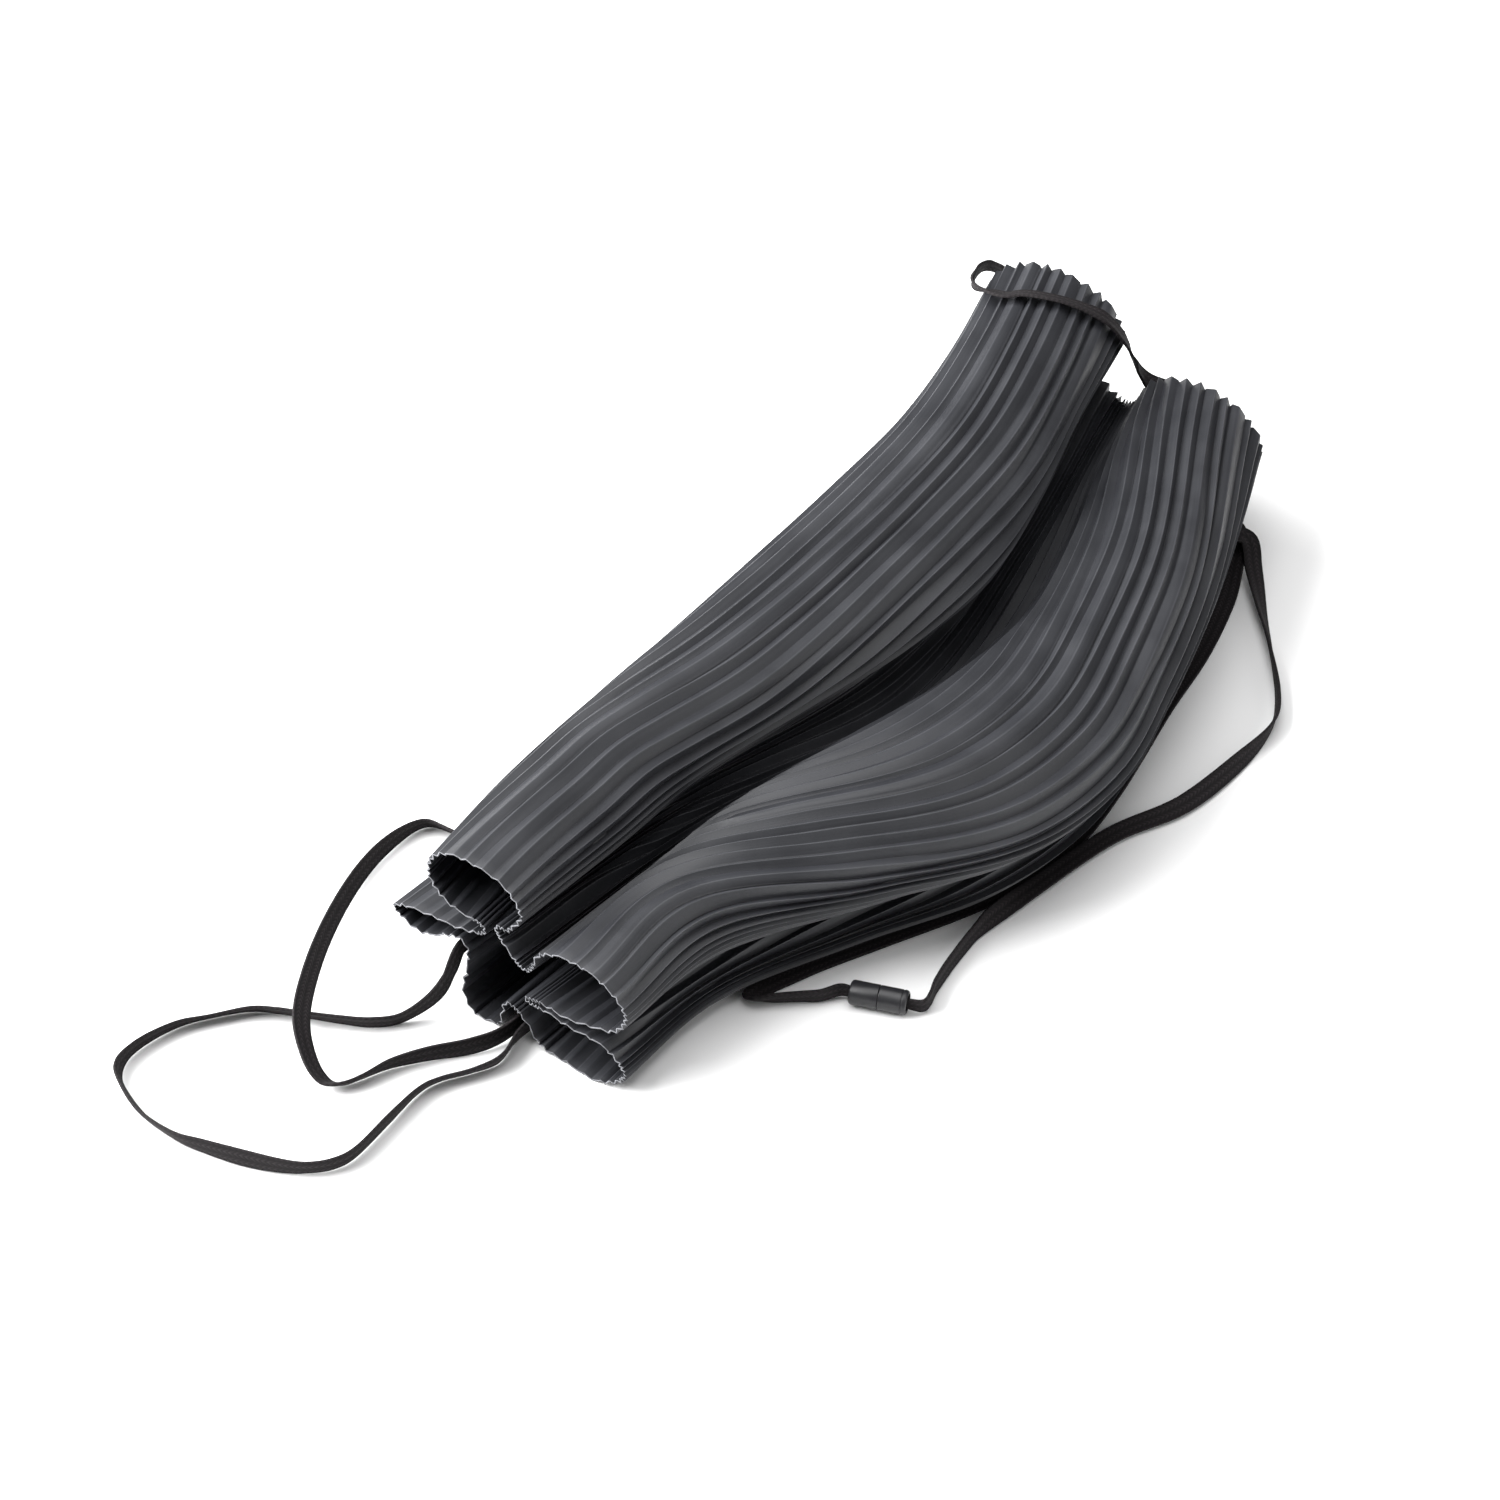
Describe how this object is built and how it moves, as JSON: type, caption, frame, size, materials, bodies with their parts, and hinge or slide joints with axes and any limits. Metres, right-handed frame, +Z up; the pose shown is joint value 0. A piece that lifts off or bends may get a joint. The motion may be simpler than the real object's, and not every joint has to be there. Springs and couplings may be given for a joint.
{
  "type": "pleated wheel cover",
  "caption": "Slip-on pleated wheel cover folded flat for storage, with flat elastic loops at its ends and a breakaway barrel connector.",
  "frame": {"origin": "centre of the folded cover's footprint on the floor, free elastics left out", "axes": "+X along the pleats from the near mouth to the far mouth, +Y towards the high side of the bundle, +Z up"},
  "size_m": [0.4967, 0.2292, 0.0873],
  "materials": {
    "pleated_sheet": "charcoal coated sheet with heat-set pleats, satin",
    "elastic": "black flat braided elastic, matt",
    "thread": "black polyester thread in dense bar tacks",
    "connector_plastic": "black moulded plastic, satin"
  },
  "bodies": {
    "cover": {"cover_upper_fold": "pleated_sheet", "cover_right_fold": "pleated_sheet", "cover_floor_fold": "pleated_sheet", "cover_left_fold": "pleated_sheet", "cover_side_fold": "pleated_sheet", "near_elastic_short_loop": "elastic", "near_elastic_long_loop": "elastic", "far_elastic": "elastic", "side_elastic_inner": "elastic", "side_elastic_outer": "elastic", "near_stitch_tacks": "thread", "far_stitch_tacks": "thread", "barrel_socket": "connector_plastic", "socket_elastic_knot": "elastic"},
    "plug": {"barrel_plug": "connector_plastic", "plug_elastic_knot": "elastic"}
  },
  "joints": [
    {"name": "connector_release", "type": "slide", "parent": "cover", "child": "plug", "axis": [0.342, -0.9397, 0], "range_m": [0, 0.008], "deforming": ["side_elastic_outer"]}
  ]
}
